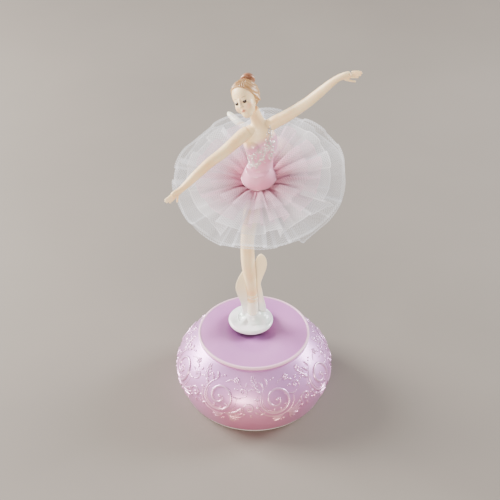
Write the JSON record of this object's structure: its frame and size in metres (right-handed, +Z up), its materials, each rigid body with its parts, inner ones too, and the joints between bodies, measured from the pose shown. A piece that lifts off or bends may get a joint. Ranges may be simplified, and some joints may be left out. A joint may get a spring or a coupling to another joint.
{
  "type": "ballerina music box",
  "caption": "Round hollow base with a wind-up comb movement inside, whose spindle turns a ballerina figure in a layered tulle tutu.",
  "frame": {"origin": "middle of the base's underside, on the table", "axes": "+Z up along the base's axis and the figure; the dancer's front faces -Y, and her left arm reaches towards +X"},
  "size_m": [0.113, 0.1334, 0.2362],
  "materials": {
    "felt": "short dense felt",
    "base_lacquer": "cast resin with pearl lilac-pink lacquer",
    "plate_lacquer": "satin lilac lacquer",
    "brass": "turned and stamped brass",
    "board_wood": "thin plywood",
    "screw_steel": "zinc plated",
    "bedplate_metal": "gold-coloured casting",
    "cast_block": "rough casting",
    "comb_steel": "hardened and ground",
    "bracket_steel": "stamped and folded sheet",
    "spring_steel": "blued spring steel",
    "arbor_steel": "turned steel",
    "nylon": "moulded nylon",
    "pearl_white": "pearl white lacquer on resin",
    "skin_resin": "satin hand-painted resin",
    "waistband_ribbon": "gathered ribbon",
    "tulle_white": "fine stiff nylon tulle",
    "tulle_blush": "fine stiff nylon tulle",
    "tulle_pink": "fine stiff nylon tulle",
    "bodice_lacquer": "pink lacquer with raised silver-white lace, painted skin above",
    "hair_paint": "hand-painted moulded hair"
  },
  "bodies": {
    "base": {"felt_ring": "felt", "base_shell": "base_lacquer", "top_plate": "plate_lacquer", "spindle_bush": "brass", "sound_board": "board_wood", "sound_board_screws": "screw_steel", "bedplate": "bedplate_metal", "bedplate_screws": "screw_steel", "comb_block": "cast_block", "steel_comb": "comb_steel", "comb_screws": "screw_steel", "cylinder_near_bracket": "bracket_steel", "cylinder_far_bracket": "bracket_steel", "governor_frame": "bracket_steel", "barrel_bridge": "bracket_steel", "bridge_screws": "screw_steel", "clutch_spring": "spring_steel"},
    "winding": {"winding_arbor": "arbor_steel", "winding_key": "brass"},
    "dancer": {"spring_barrel": "brass", "mainspring": "spring_steel", "barrel_cover": "brass", "spindle": "arbor_steel", "turntable": "pearl_white", "petal_support": "pearl_white", "standing_leg": "skin_resin", "raised_leg": "skin_resin", "tulle_waistband": "waistband_ribbon", "long_tulle_skirt": "tulle_white", "middle_tulle_skirt": "tulle_blush", "pink_tulle_skirt": "tulle_pink", "upper_body": "bodice_lacquer", "right_arm": "skin_resin", "left_arm": "skin_resin", "head": "skin_resin", "hair": "hair_paint"},
    "cylinder": {"pinned_cylinder": "brass", "cylinder_pins": "brass", "cylinder_arbor": "arbor_steel", "cylinder_pinion": "nylon", "cylinder_wheel": "brass"},
    "governor_wheel": {"governor_arbor": "arbor_steel", "governor_pinion": "arbor_steel", "governor_worm_wheel": "nylon"},
    "governor_worm": {"governor_worm": "arbor_steel", "air_brake": "arbor_steel"}
  },
  "joints": [
    {"name": "dancer_turn", "type": "hinge", "parent": "base", "child": "dancer", "pos_m": [-0.002, 0.007, 0.048], "axis": [0, 0, 1], "continuous": true},
    {"name": "key_turn", "type": "hinge", "parent": "base", "child": "winding", "pos_m": [-0.002, 0.007, 0.02], "axis": [0, 0, 1], "range_deg": [0, 2520]},
    {"name": "cylinder_spin", "type": "hinge", "parent": "base", "child": "cylinder", "pos_m": [-0.002, -0.018, 0.03325], "axis": [0, 1, 0], "continuous": true},
    {"name": "governor_spin", "type": "hinge", "parent": "base", "child": "governor_wheel", "pos_m": [-0.00988, -0.026, 0.03325], "axis": [0, 1, 0], "continuous": true},
    {"name": "worm_spin", "type": "hinge", "parent": "base", "child": "governor_worm", "pos_m": [-0.01588, -0.0277, 0.033], "axis": [0, 0, 1], "continuous": true}
  ],
  "couplings": [
    {"joint": "cylinder_spin", "follows": "dancer_turn", "ratio": -2.3},
    {"joint": "governor_spin", "follows": "dancer_turn", "ratio": 9.2},
    {"joint": "worm_spin", "follows": "dancer_turn", "ratio": -165.6}
  ]
}
